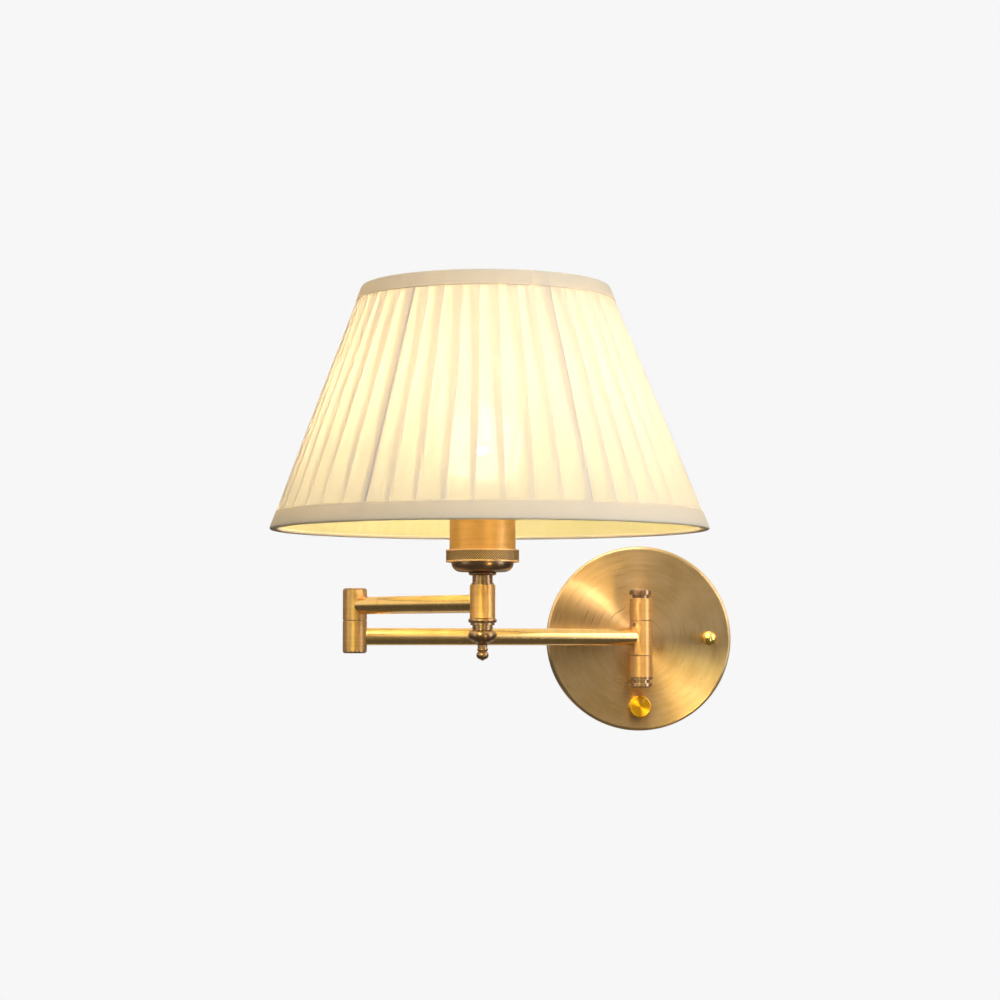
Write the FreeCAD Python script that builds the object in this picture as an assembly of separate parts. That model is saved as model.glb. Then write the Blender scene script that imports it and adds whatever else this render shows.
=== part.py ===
import FreeCAD, Part
import math
import os

# Swing arm wall sconce with a pleated empire shade, in millimetres.
# Origin: centre of the crossbar's back face, on the wall. +X right along the wall, +Y into it, +Z up.
# Everything stands off the wall towards -Y. A "depth" is a distance out from the wall.
V = FreeCAD.Vector

# Driving dimensions
PLATE_R, PLATE_DEPTH, PLATE_WALL, PLATE_EDGE = 59.0, 20.0, 1.2, 2.0
PIVOT_DEPTH = 45.0  # wall pivot axis to wall
LOWER_ARM, LOWER_ARM_DEG = 194.0, 205.0  # axis to axis, and its direction at rest, from +X
UPPER_ARM, UPPER_ARM_DEG = 106.0, -43.5
LOWER_ARM_Z, UPPER_ARM_Z = 0.8, 19.2
TUBE_R, TUBE_WALL = 5.2, 1.0
BARREL_R, SLEEVE_R = 7.2, 7.25  # collars, swivel and elbow barrels; the sleeve that carries the head
PIN_R = 3.5  # wall pivot pin and elbow pin
STEM_R, STEM_BORE = 4.8, 3.0  # hollow threaded stem through the sleeve
RUNNING = 0.05  # clearance of a turning fit, on the radius and between faces
EDGE = 0.3  # broken edges of turned brass

# Heights of the wall pivot stack
CAP_TOP, CAP_UNDER = 30.8, 27.2
COLLAR_TOP, SEAM_Z = 25.1, 11.2
LOWER_COLLAR_END, LIP_END, LOWER_CAP_TOP = -24.5, -26.0, -28.3
WASHER = 0.2

# Heights of the elbow and of the sleeve that carries the head
ELBOW_TOP, ELBOW_SEAM, ELBOW_BOTTOM, ELBOW_CAP = 29.6, 10.4, -9.2, 1.4
SLEEVE_BOTTOM, SLEEVE_TOP = 10.8, 29.9

# Fixings on the wall plate
STUD_X, STUD_R = 44.7, 2.0
DIMMER_Z, KNOB_R, KNOB_DEPTHS, POINTER_DEG = -43.4, 6.85, (22.6, 34.0), 60.0
SLOT_X, SLOT_LENGTH, SLOT_R = 30.0, 16.0, 2.25
STUB_R, STUB_BORE, STUB_Z = 5.0, 3.2, 18.0

# Lampholder
NECK_TOP, FLANGE_TOP, DOME_TOP, RING_TOP = 35.2, 37.2, 42.7, 49.8
DOME_R, DOME_FLAT_R, RING_R, SHELL_R, SHELL_WALL = 17.8, 12.4, 20.9, 18.8, 0.9
SHELL_TOP, SEAT_Z, SEAT_R = 89.0, 82.4, 21.5

# Bulb: a 45 mm globe on a 27 mm screw cap
BULB_R, BULB_Z, CAP_R = 22.5, 108.5, 13.1

# Shade
SHADE_BOTTOM_R, SHADE_TOP_R, SHADE_BOTTOM, SHADE_TOP = 125.4, 71.0, 60.9, 200.3
SHADE_OFF_BOTTOM, SHADE_OFF_TOP = 4.1, 1.7  # the hand-made shade's edges sit this far to +X of the lampholder's axis
BOTTOM_BAND, TOP_BAND, BAND_SKIN = 10.6, 9.0, 0.5
PLEAT_OUT, PLEAT_IN = 0.55, 1.75  # the pleated cloth, as distances in from the band's surface
LINING_OUT, LINING_IN = 3.85, 4.25
RIBS, RIB_DEG, RIB_R, HOOP_R = 6, -1.5, 0.8, 0.9
RIB_SWEEP_DEG = -1.5  # each rib meets the bottom hoop this much further round than the top one
ARM_WIRE_R = 1.1


def polar(length, degrees):
    """The point at a length and direction from the origin, in plan."""
    return V(length * math.cos(math.radians(degrees)), length * math.sin(math.radians(degrees)), 0)


PIVOT = V(0, -PIVOT_DEPTH, 0)
ELBOW = PIVOT + polar(LOWER_ARM, LOWER_ARM_DEG)
POST = ELBOW + polar(UPPER_ARM, UPPER_ARM_DEG)


# --- shapes -----------------------------------------------------------------


def disc(r, z0, z1, centre=V()):
    """Upright solid cylinder from z0 to z1."""
    return Part.makeCylinder(r, z1 - z0, centre + V(0, 0, z0))


def ring(r_out, r_in, z0, z1):
    """Upright tube or washer about the Z axis."""
    return disc(r_out, z0, z1).cut(disc(r_in, z0, z1))


def turned(start, *steps):
    """Solid turned about Z. A step is the end (r, z) of a line, or a pair of (r, z): an arc's middle and end."""
    edges, here = [], V(start[0], 0, start[1])
    for step in (*steps, start):
        arc = isinstance(step[0], tuple)
        end = step[1] if arc else step
        there = V(end[0], 0, end[1])
        if arc:
            middle = V(step[0][0], 0, step[0][1])
            edges.append(Part.Arc(here, middle, there).toShape())
        elif (there - here).Length > 1e-6:
            edges.append(Part.makeLine(here, there))
        here = there
    return Part.Face(Part.Wire(edges)).revolve(V(), V(0, 0, 1), 360)


def barrel(r_out, r_in, z0, z1, edge=EDGE):
    """Turned sleeve with both outer edges broken."""
    return turned(
        (r_in, z0), (r_out - edge, z0), (r_out, z0 + edge), (r_out, z1 - edge), (r_out - edge, z1), (r_in, z1)
    )


def quarter(centre, r, degrees):
    """Middle and end of a quarter arc that starts at the given direction and turns anticlockwise."""
    at = [math.radians(degrees + turn) for turn in (45, 90)]
    return tuple((centre[0] + r * math.cos(a), centre[1] + r * math.sin(a)) for a in at)


def hex_nut(across_flats, r_in, z0, z1):
    """Plain hexagon nut about the Z axis."""
    corner = across_flats / 2 / math.cos(math.radians(30))
    points = [polar(corner, 60 * i) + V(0, 0, z0) for i in range(7)]
    prism = Part.Face(Part.makePolygon(points)).extrude(V(0, 0, z1 - z0))
    return prism.cut(disc(r_in, z0, z1))


def rod(points, r):
    """Bent wire: straight cylinders with a ball at each bend."""
    spans = [Part.makeCylinder(r, (b - a).Length, a, b - a) for a, b in zip(points, points[1:])]
    balls = [Part.makeSphere(r, p) for p in points[1:-1]]
    solid = spans[0]
    for piece in spans[1:] + balls:
        solid = solid.fuse(piece)
    return solid.removeSplitter()


def off_wall(shape, x=0, z=0):
    """Lay a shape made about Z so that its Z is depth from the wall, and put it at x, z."""
    out = shape.copy()
    out.rotate(V(), V(1, 0, 0), 90)
    out.translate(V(x, 0, z))
    return out


def moved(shape, to):
    out = shape.copy()
    out.translate(to)
    return out


def pair(shape, x):
    """The same shape at +x and -x, as two solids in one group."""
    return Part.makeCompound([moved(shape, V(x, 0, 0)), moved(shape, V(-x, 0, 0))])


# --- wall plate and what is behind it ---------------------------------------


def backplate_cover():
    """Spun dish: flat face, rounded edge and a straight skirt back to the wall."""
    r, d, t, e = PLATE_R, PLATE_DEPTH, PLATE_WALL, PLATE_EDGE
    shell = turned(
        (0, d - t),
        (r - e, d - t),
        tuple(reversed_quarter((r - e, d - e), e - t)),
        (r - t, 0),
        (r, 0),
        (r, d - e),
        quarter((r - e, d - e), e, 0),
        (0, d),
    )
    cover = off_wall(shell)
    for x, z, hole in plate_holes():
        cover = cover.cut(off_wall(disc(hole, 0, d + 1), x, z))
    return cover


def reversed_quarter(centre, r):
    """Middle and end of the quarter arc from straight up round to +r, turning clockwise."""
    ends = [math.radians(a) for a in (45, 0)]
    return [(centre[0] + r * math.cos(a), centre[1] + r * math.sin(a)) for a in ends]


def plate_holes():
    """x, z and radius of each hole in the cover's face: stubs, studs and the dimmer's bush."""
    return (
        (0, STUB_Z, STUB_R + 0.1),
        (0, -STUB_Z, STUB_R + 0.1),
        (STUD_X, 0, STUD_R + 0.2),
        (-STUD_X, 0, STUD_R + 0.2),
        (0, DIMMER_Z, 3.6),
    )


def wall_crossbar():
    """Steel strap with two slots for the wall screws and two tapped holes for the cover's studs."""
    length, height, thick, corner = 104.0, 22.0, 2.0, 4.0
    strap = Part.makeBox(length, thick, height, V(-length / 2, -thick, -height / 2))
    upright = [e for e in strap.Edges if abs(e.Length - thick) < 1e-6]
    strap = strap.makeFillet(corner, upright)
    for side in (-1, 1):
        strap = strap.cut(wall_slot(side * SLOT_X, thick))
        strap = strap.cut(off_wall(disc(STUD_R, 0, thick), side * STUD_X))
    return strap.cut(off_wall(disc(1.75, 0, thick), *EARTH_XZ))


def wall_slot(x, depth):
    """Round-ended slot that runs along X."""
    half = SLOT_LENGTH / 2 - SLOT_R
    slot = Part.makeBox(2 * half, depth, 2 * SLOT_R, V(x - half, -depth, -SLOT_R))
    for end in (x - half, x + half):
        slot = slot.fuse(off_wall(disc(SLOT_R, 0, depth), end))
    return slot


EARTH_XZ = (12.0, 6.0)


def earth_screw():
    """Pan-head screw into the crossbar."""
    screw = turned((0, 0), (1.75, 0), (1.75, 2.0), (3.6, 2.0), (3.6, 3.2), (2.8, 4.0), (0, 4.0))
    return off_wall(screw, *EARTH_XZ)


def canopy_nut():
    """Turned thumb nut: narrow neck, round head with a broken front edge, blind bore for the stud."""
    base, neck, front = PLATE_DEPTH, PLATE_DEPTH + 1.6, PLATE_DEPTH + 9.0
    return turned(
        (STUD_R, base),
        (3.3, base),
        (3.3, neck),
        (4.5, neck + 0.5),
        (4.5, front - 1.0),
        ((4.1, front - 0.3), (3.3, front)),
        (0, front),
        (0, base + 6.0),
        (STUD_R, base + 6.0),
    )


def stub(z):
    """Hollow threaded stub from inside the plate to a collar, its end cut to the collar."""
    depth0 = PLATE_DEPTH - PLATE_WALL - 6.0
    solid = off_wall(ring(STUB_R, STUB_BORE, depth0, PIVOT_DEPTH), 0, z)
    return solid.cut(disc(BARREL_R, z - 9, z + 9, PIVOT))


def stub_nuts():
    """One nut behind the plate on each stub."""
    face = PLATE_DEPTH - PLATE_WALL
    nut = hex_nut(14.0, STUB_R, face - 3.6, face)
    return Part.makeCompound([off_wall(nut, 0, z) for z in (STUB_Z, -STUB_Z)])


def terminal_block():
    """Two-way connector block with screw wells and wire ways, standing on the crossbar."""
    block = Part.makeBox(20, 10, 12, V(-34, -12.2, -6))
    for z in (-3.0, 3.0):
        block = block.cut(Part.makeCylinder(1.9, 22, V(-35, -7.2, z), V(1, 0, 0)))
        for x in (-29.0, -19.0):
            block = block.cut(Part.makeCylinder(1.8, 5, V(x, -12.2, z), V(0, 1, 0)))
    return block


def terminal_screws():
    """Four slotted screws, one in each well of the block."""
    screws = []
    for z in (-3.0, 3.0):
        for x in (-29.0, -19.0):
            body = Part.makeCylinder(1.75, 2.6, V(x, -11.8, z), V(0, 1, 0))
            slot = Part.makeBox(4, 0.7, 0.6, V(x - 2, -11.9, z - 0.3))
            screws.append(body.cut(slot))
    return Part.makeCompound(screws)


# --- rotary dimmer ----------------------------------------------------------

DIMMER_BODY_R, BUSH_R, SHAFT_R = 10.5, 3.5, 3.0


def dimmer_body():
    """Round dimmer case behind the plate, its threaded bush coming out through the face."""
    face = PLATE_DEPTH - PLATE_WALL
    case = barrel(DIMMER_BODY_R, 0, face - 11.0, face - 0.05, 1.0)
    body = case.fuse(disc(BUSH_R, face - 1.0, PLATE_DEPTH + 5.5))
    body = body.cut(disc(SHAFT_R + RUNNING, face - 7.0, PLATE_DEPTH + 5.5))
    for x in (-4.0, 0.0, 4.0):
        body = body.fuse(Part.makeBox(1.6, 5.0, 0.5, V(x - 0.8, 9.0, face - 10.0)))
    return off_wall(body.removeSplitter(), 0, DIMMER_Z)


def dimmer_bush_nut():
    return off_wall(hex_nut(10.0, BUSH_R, PLATE_DEPTH, PLATE_DEPTH + 2.0), 0, DIMMER_Z)


def dimmer_knob():
    """Round knob, hollow behind for the bush, with a groove for its pointer."""
    back, front = KNOB_DEPTHS
    knob = turned(
        (BUSH_R + 0.6, back),
        (KNOB_R - EDGE, back),
        (KNOB_R, back + EDGE),
        (KNOB_R, front - 0.5),
        (KNOB_R - 0.5, front),
        (0, front),
        (0, front - 2.0),
        (SHAFT_R, front - 2.0),
        (SHAFT_R, back + 4.0),
        (BUSH_R + 0.6, back + 4.0),
    )
    return off_wall(knob.cut(pointer_bar(0.0)), 0, DIMMER_Z)


def dimmer_shaft():
    back, front = PLATE_DEPTH - PLATE_WALL - 6.9, KNOB_DEPTHS[1] - 2.0
    return off_wall(disc(SHAFT_R, back, front), 0, DIMMER_Z)


def pointer_bar(proud):
    """Thin bar let into the knob's face, pointing at the knob's setting."""
    front = KNOB_DEPTHS[1]
    bar = Part.makeBox(3.0, 0.7, 0.4 + proud, V(3.1, -0.35, front - 0.4))
    bar.rotate(V(), V(0, 0, 1), POINTER_DEG)
    return bar


# --- wall pivot -------------------------------------------------------------


def top_cap():
    """Disc on a narrow neck that screws down on the pin."""
    return turned(
        (PIN_R, COLLAR_TOP),
        (5.4, COLLAR_TOP),
        (5.4, CAP_UNDER),
        (BARREL_R - EDGE, CAP_UNDER),
        (BARREL_R, CAP_UNDER + EDGE),
        (BARREL_R, CAP_TOP - 0.7),
        (BARREL_R - 0.7, CAP_TOP),
        (0, CAP_TOP),
        (0, CAP_TOP - 1.8),
        (PIN_R, CAP_TOP - 1.8),
    )


def bottom_cap():
    """Lip, narrow neck and disc below the lower collar."""
    end = -CAP_TOP
    return turned(
        (PIN_R, LOWER_COLLAR_END),
        (PIN_R, end + 1.8),
        (0, end + 1.8),
        (0, end),
        (BARREL_R - 0.6, end),
        (BARREL_R, end + 0.6),
        (BARREL_R, LOWER_CAP_TOP),
        (5.4, LOWER_CAP_TOP),
        (5.4, LIP_END),
        (BARREL_R + 0.2, LIP_END),
        (BARREL_R + 0.2, LOWER_COLLAR_END),
    )


def swivel_barrel():
    """The barrel that the lower arm is brazed to, with a tapped hole for its grub screw."""
    top = SEAM_Z - WASHER - 2 * RUNNING
    solid = barrel(BARREL_R, PIN_R + RUNNING, -top, top)
    return solid.cut(grub_screw(1.4, BARREL_R + 1))


GRUB_DEG, GRUB_Z = 230.0, 8.4


def grub_screw(r, reach):
    """Radial cylinder through the swivel's wall, out to the given distance from its axis."""
    start = polar(PIN_R + 0.4, GRUB_DEG) + V(0, 0, GRUB_Z)
    return Part.makeCylinder(r, reach - PIN_R - 0.4, start, polar(1, GRUB_DEG))


def swivel_set_screw():
    """Grub screw with a screwdriver slot, just below the barrel's surface."""
    slot = Part.makeBox(1.0, 4.0, 0.5, V(5.9, -2.0, GRUB_Z - 0.25))
    slot.rotate(V(), V(0, 0, 1), GRUB_DEG)
    return grub_screw(1.3, 6.7).cut(slot)


# --- arms -------------------------------------------------------------------


def arm_tube(a, b, z, end_r=BARREL_R):
    """Straight tube between two barrels, its ends cut to sit on them."""
    start, way = a + V(0, 0, z), b - a
    tube = Part.makeCylinder(TUBE_R, way.Length, start, way)
    tube = tube.cut(Part.makeCylinder(TUBE_R - TUBE_WALL, way.Length, start, way))
    for centre, r in ((a, BARREL_R), (b, end_r)):
        tube = tube.cut(disc(r, z - 2 * TUBE_R, z + 2 * TUBE_R, centre))
    return tube


SPIGOT_R, SPIGOT, NUT_WELL = 5.2, 1.6, 6.4


def elbow_lower_barrel():
    """Barrel that holds the elbow pin, open below for its cap."""
    z0, z1 = ELBOW_BOTTOM + ELBOW_CAP, ELBOW_SEAM - WASHER / 2 - RUNNING
    return barrel(BARREL_R, PIN_R, z0, z1, 0.2).cut(disc(SPIGOT_R, z0, z0 + SPIGOT))


def elbow_upper_barrel():
    """Barrel that turns on the elbow pin, with a well for the pin's nut and the cap."""
    z0, z1 = ELBOW_SEAM + WASHER / 2 + RUNNING, ELBOW_TOP - ELBOW_CAP
    return barrel(BARREL_R, PIN_R + RUNNING, z0, z1, 0.2).cut(disc(SPIGOT_R, z1 - NUT_WELL, z1))


def elbow_cap(face, way):
    """Press-in end cap: chamfered disc outside, spigot inside. way is +1 for the top, -1 for the bottom."""
    seat = face - way * ELBOW_CAP
    return turned(
        (0, seat - way * SPIGOT),
        (SPIGOT_R, seat - way * SPIGOT),
        (SPIGOT_R, seat),
        (BARREL_R - 0.1, seat),
        (BARREL_R - 0.1, face - way * 0.8),
        (BARREL_R - 0.9, face),
        (0, face),
    )


def elbow_pin():
    """Shouldered pin with a nut-sized head under the top cap."""
    well = ELBOW_TOP - ELBOW_CAP - NUT_WELL
    pin = disc(PIN_R, ELBOW_BOTTOM + ELBOW_CAP + SPIGOT + 0.2, well + RUNNING)
    return pin.fuse(disc(SPIGOT_R - 0.5, well + RUNNING, well + 3.0)).removeSplitter()


def sleeve_parts():
    """The upright sleeve at the end of the upper arm, and the nylon bush pressed into it."""
    sleeve = barrel(SLEEVE_R, STEM_R + 0.8, SLEEVE_BOTTOM, SLEEVE_TOP, 0.2)
    bush = ring(STEM_R + 0.8, STEM_R + RUNNING, SLEEVE_BOTTOM, SLEEVE_TOP)
    return {"post_sleeve": sleeve, "sleeve_bush": bush}


# --- head: finial, neck and lampholder --------------------------------------


def head_stem():
    return ring(STEM_R, STEM_BORE, 5.2, DOME_TOP + 1.5)


def finial_ring():
    """Round bead that closes the sleeve's lower end."""
    top, bottom = SLEEVE_BOTTOM - RUNNING, 8.35
    middle = (top + bottom) / 2
    return turned((STEM_R, top), (7.5, top), ((8.15, middle), (7.5, bottom)), (STEM_R, bottom))


def finial():
    """Turned finial: step, neck, round bulb, cone with a ridge, thin neck, bead and pointed ball."""
    return turned(
        (STEM_R, 8.3),
        (6.9, 8.3),
        (6.9, 7.0),
        (5.7, 6.7),
        (5.7, 5.9),
        ((6.05, 5.5), (5.7, 5.1)),
        (5.7, 4.3),
        ((7.6, 3.3), (8.2, 1.4)),
        ((7.75, -0.5), (6.2, -2.2)),
        (5.7, -2.6),
        ((4.0, -3.3), (2.8, -4.5)),
        (2.7, -6.0),
        ((3.15, -6.7), (2.7, -7.6)),
        (2.4, -7.9),
        ((3.5, -10.0), (1.9, -12.3)),
        (0, -13.3),
        (0, 5.0),
        (STEM_R, 5.0),
    )


def post_neck():
    """Dark spacer above the sleeve, with a thin foot."""
    z0 = SLEEVE_TOP + RUNNING
    return turned(
        (STEM_R, z0), (6.4, z0), (6.4, z0 + 0.8), (5.8, z0 + 1.1), (5.8, NECK_TOP), (STEM_R, NECK_TOP)
    )


def flange_washer():
    """Flared washer under the dome."""
    return turned(
        (STEM_R, NECK_TOP),
        (6.2, NECK_TOP),
        ((7.4, 35.5), (8.0, 36.1)),
        ((7.8, 36.8), (7.0, FLANGE_TOP)),
        (STEM_R, FLANGE_TOP),
    )


def socket_dome():
    """Shallow cup under the lampholder, its skirt rising inside the shell."""
    skirt_r, skirt_top, t = SHELL_R - SHELL_WALL - 0.45, 46.0, 1.0
    corner = DOME_R - DOME_FLAT_R
    floor = FLANGE_TOP + t
    return turned(
        (STEM_R, FLANGE_TOP),
        (DOME_FLAT_R, FLANGE_TOP),
        ((DOME_R - corner * 0.293, FLANGE_TOP + corner * 0.293), (DOME_R, DOME_TOP - 0.1)),
        (DOME_R, DOME_TOP),
        (skirt_r, DOME_TOP),
        (skirt_r, skirt_top),
        (skirt_r - t, skirt_top),
        (skirt_r - t, DOME_TOP - 0.5),
        ((skirt_r - t - 1.2, floor + 1.3), (DOME_FLAT_R, floor)),
        (STEM_R, floor),
    )


def stem_nut():
    """Nut that clamps the dome, washer and neck on the stem."""
    floor = FLANGE_TOP + 1.0
    return hex_nut(14.0, STEM_R, floor, floor + 3.0)


def knurled_ring():
    """Clamp ring between dome and shell: two plain lips with a slightly lower band between for the knurl."""
    inner, lip = SHELL_R - 0.5, 0.7
    return turned(
        (DOME_R, DOME_TOP),
        (RING_R - EDGE, DOME_TOP),
        (RING_R, DOME_TOP + EDGE),
        (RING_R, DOME_TOP + lip),
        (RING_R - 0.25, DOME_TOP + lip + 0.2),
        (RING_R - 0.25, RING_TOP - lip - 0.2),
        (RING_R, RING_TOP - lip),
        (RING_R, RING_TOP - EDGE),
        (RING_R - EDGE, RING_TOP),
        (inner, RING_TOP),
        (inner, DOME_TOP + 1.0),
        (DOME_R, DOME_TOP + 1.0),
    )


def socket_shell():
    """Plain brass sleeve of the lampholder, with a seat for the shade's fitter ring."""
    bore = SHELL_R - SHELL_WALL
    return turned(
        (bore, DOME_TOP + 1.05),
        (SHELL_R - 0.5, DOME_TOP + 1.05),
        (SHELL_R - 0.5, RING_TOP),
        (SHELL_R, RING_TOP),
        (SHELL_R, SEAT_Z - 1.4),
        (SEAT_R, SEAT_Z - 1.4),
        (SEAT_R, SEAT_Z),
        (SHELL_R, SEAT_Z),
        (SHELL_R, SHELL_TOP),
        (bore, SHELL_TOP),
    )


def shade_nut():
    """Ring that screws down on the shade's fitter ring."""
    return barrel(SEAT_R, SHELL_R, SEAT_Z + 1.65, SEAT_Z + 5.4)


def socket_insulator():
    """Ceramic body of the lampholder: a cup for the screw shell."""
    r = SHELL_R - SHELL_WALL - 0.5
    cup = ring(r, 14.4, 50.0, 86.0).fuse(ring(r, 1.6, 46.05, 50.0))
    return cup.removeSplitter()


def lamp_contacts():
    """Screw shell and centre contact of the lampholder."""
    spring = turned((0, 50.0), (4.5, 50.0), (4.5, 50.6), (3.0, 52.2), (0, 52.4))
    return {"socket_thread": ring(14.35, 13.7, 52.0, 80.0), "centre_contact": spring}


def bulb_parts():
    """Globe bulb: screw cap, its contact, the glass envelope and the filament on its stem."""
    top = 79.5
    cap = turned((0, 54.6), (6.0, 54.6), (CAP_R, 58.0), (CAP_R, top), (0, top))
    contact = turned((0, 52.45), (3.0, 52.45), (4.6, 53.4), (4.6, 54.55), (0, 54.55))
    stem = turned((0, top + 0.9), (4.0, top + 0.9), (1.6, 92.0), (1.6, 101.0), (0, 101.0))
    filament = stem.fuse(ring(6.0, 5.2, 106.0, 107.0)).fuse(disc(0.45, 101.0, 106.6))
    for turn in (0, 120, 240):
        arm = Part.makeCylinder(0.35, 5.5, V(0, 0, 106.5), polar(1, turn))
        filament = filament.fuse(arm)
    return {"bulb_cap": cap, "bulb_contact": contact, "bulb_glass": bulb_glass(top), "bulb_filament": filament}


def bulb_glass(foot):
    """Round globe that runs down in a smooth neck to the cap, hollow."""
    wall, neck_r = 0.8, 12.8
    join = math.radians(-50)
    tangent = (BULB_R * math.cos(join), BULB_Z + BULB_R * math.sin(join))
    inner = ((BULB_R - wall) * math.cos(join), BULB_Z + (BULB_R - wall) * math.sin(join))
    return turned(
        (0, foot + 0.05),
        (neck_r, foot + 0.05),
        (neck_r, 84.0),
        ((13.1, 88.0), tangent),
        ((BULB_R, BULB_Z), (0, BULB_Z + BULB_R)),
        (0, BULB_Z + BULB_R - wall),
        ((BULB_R - wall, BULB_Z), inner),
        ((13.1 - wall, 88.0), (neck_r - wall, 84.0)),
        (neck_r - wall, foot + 0.85),
        (0, foot + 0.85),
    )


# --- shade ------------------------------------------------------------------


def shade_r(z, inset=0.0):
    """Radius of the shade's outer surface at a height, less an inset."""
    share = (z - SHADE_BOTTOM) / (SHADE_TOP - SHADE_BOTTOM)
    return SHADE_BOTTOM_R + (SHADE_TOP_R - SHADE_BOTTOM_R) * share - inset


def cone_wall(z0, z1, outer, inner):
    """Sloping wall between two insets, open at top and bottom."""
    return turned(
        (shade_r(z0, inner), z0), (shade_r(z0, outer), z0), (shade_r(z1, outer), z1), (shade_r(z1, inner), z1)
    )


def band(edge, height, way):
    """Cloth tape folded over a hoop: outer skin, turned edge and a shorter inner flap."""
    web, far, flap = edge + way * BAND_SKIN, edge + way * height, edge + way * height * 0.6
    inner = LINING_IN + 0.05
    return turned(
        (shade_r(edge), edge),
        (shade_r(far), far),
        (shade_r(far, BAND_SKIN), far),
        (shade_r(web, BAND_SKIN), web),
        (shade_r(web, inner), web),
        (shade_r(flap, inner), flap),
        (shade_r(flap, inner + BAND_SKIN), flap),
        (shade_r(edge, inner + BAND_SKIN), edge),
    )


WIRE_INSET = (PLEAT_IN + LINING_OUT) / 2
HOOP_HEIGHTS = (SHADE_BOTTOM + 1.7, SHADE_TOP - 1.7)


def shade_centre(z):
    """Centre of the shade's section at a height."""
    share = (z - SHADE_BOTTOM) / (SHADE_TOP - SHADE_BOTTOM)
    return V(SHADE_OFF_BOTTOM + (SHADE_OFF_TOP - SHADE_OFF_BOTTOM) * share, 0, z)


def leaned(shape):
    """Slides each level of a shape made about Z onto the shade's own centre line."""
    lean = FreeCAD.Matrix()
    lean.A13 = (SHADE_OFF_TOP - SHADE_OFF_BOTTOM) / (SHADE_TOP - SHADE_BOTTOM)
    lean.A14 = SHADE_OFF_BOTTOM - lean.A13 * SHADE_BOTTOM
    return shape.transformGeometry(lean)


def rib_point(z, degrees):
    share = (SHADE_TOP - z) / (SHADE_TOP - SHADE_BOTTOM)
    return polar(shade_r(z, WIRE_INSET), degrees + RIB_SWEEP_DEG * share) + shade_centre(z)


def shade_ribs():
    """Six straight wires up the slope, between the two hoops."""
    low, high = HOOP_HEIGHTS[0] + HOOP_R + 0.1, HOOP_HEIGHTS[1] - HOOP_R - 0.1
    turns = [RIB_DEG + i * 360 / RIBS for i in range(RIBS)]
    return Part.makeCompound([rod([rib_point(low, a), rib_point(high, a)], RIB_R) for a in turns])


def hoop(z):
    """Wire ring that holds the shade's edge."""
    return Part.makeTorus(shade_r(z, WIRE_INSET), HOOP_R, shade_centre(z))


def arm_route(degrees):
    """From the fitter ring out and up to the top hoop."""
    level, top = V(0, 0, SEAT_Z + 0.8), HOOP_HEIGHTS[1]
    end = polar(shade_r(top, LINING_OUT + 0.2), degrees) + shade_centre(top)
    return [polar(23.1, degrees) + level, polar(29.0, degrees) + level, end]


ARM_TURNS = [RIB_DEG + 60 * i for i in (1, 3, 5)]


def spider_arms(r=ARM_WIRE_R):
    """Three bent wires that hang the fitter ring from the top hoop."""
    top_hoop = hoop(HOOP_HEIGHTS[1])
    return Part.makeCompound([rod(arm_route(a), r).cut(top_hoop) for a in ARM_TURNS])


def shade_parts():
    """Frame, pleated cloth, lining and edge tapes of the shade."""
    clearance = spider_arms(ARM_WIRE_R + 0.1)
    low, high = SHADE_BOTTOM + BAND_SKIN + 0.05, SHADE_TOP - BAND_SKIN - 0.05
    return {
        "fitter_ring": ring(23.0, SHELL_R + 0.05, SEAT_Z + 0.02, SEAT_Z + 1.6),
        "spider_arms": spider_arms(),
        "shade_top_hoop": hoop(HOOP_HEIGHTS[1]),
        "shade_bottom_hoop": hoop(HOOP_HEIGHTS[0]),
        "shade_ribs": shade_ribs(),
        "shade_fabric": leaned(cone_wall(low, high, PLEAT_OUT, PLEAT_IN)),
        "shade_lining": leaned(cone_wall(low, high, LINING_OUT, LINING_IN)).cut(clearance),
        "bottom_trim": leaned(band(SHADE_BOTTOM, BOTTOM_BAND, 1)),
        "top_trim": leaned(band(SHADE_TOP, TOP_BAND, -1)).cut(clearance),
    }


# --- assembly ---------------------------------------------------------------


def wall_parts():
    nut, stud = off_wall(canopy_nut()), off_wall(disc(STUD_R, 0, PLATE_DEPTH + 5.5))
    return {
        "backplate_cover": backplate_cover(),
        "wall_crossbar": wall_crossbar(),
        "canopy_studs": pair(stud, STUD_X),
        "canopy_nuts": pair(nut, STUD_X),
        "upper_stub": stub(STUB_Z),
        "lower_stub": stub(-STUB_Z),
        "stub_nuts": stub_nuts(),
        "terminal_block": terminal_block(),
        "terminal_screws": terminal_screws(),
        "earth_screw": earth_screw(),
        "dimmer_body": dimmer_body(),
        "dimmer_bush_nut": dimmer_bush_nut(),
    }


def knob_parts():
    pointer = off_wall(pointer_bar(0.15), 0, DIMMER_Z)
    return {"dimmer_knob": dimmer_knob(), "dimmer_shaft": dimmer_shaft(), "knob_pointer": pointer}


def pivot_parts():
    """Everything on the wall pivot's axis, made about Z."""
    washer_z = SEAM_Z - WASHER - RUNNING
    return {
        "pivot_pin": disc(PIN_R, -CAP_TOP + 1.9, CAP_TOP - 1.9),
        "upper_collar": barrel(BARREL_R, PIN_R, SEAM_Z, COLLAR_TOP),
        "lower_collar": barrel(BARREL_R, PIN_R, LOWER_COLLAR_END, -SEAM_Z),
        "upper_washer": ring(BARREL_R - 0.35, PIN_R, washer_z, SEAM_Z - RUNNING),
        "lower_washer": ring(BARREL_R - 0.35, PIN_R, -SEAM_Z + RUNNING, -washer_z),
        "top_cap": top_cap(),
        "bottom_cap": bottom_cap(),
        "swivel_barrel": swivel_barrel(),
        "swivel_set_screw": swivel_set_screw(),
    }


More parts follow.
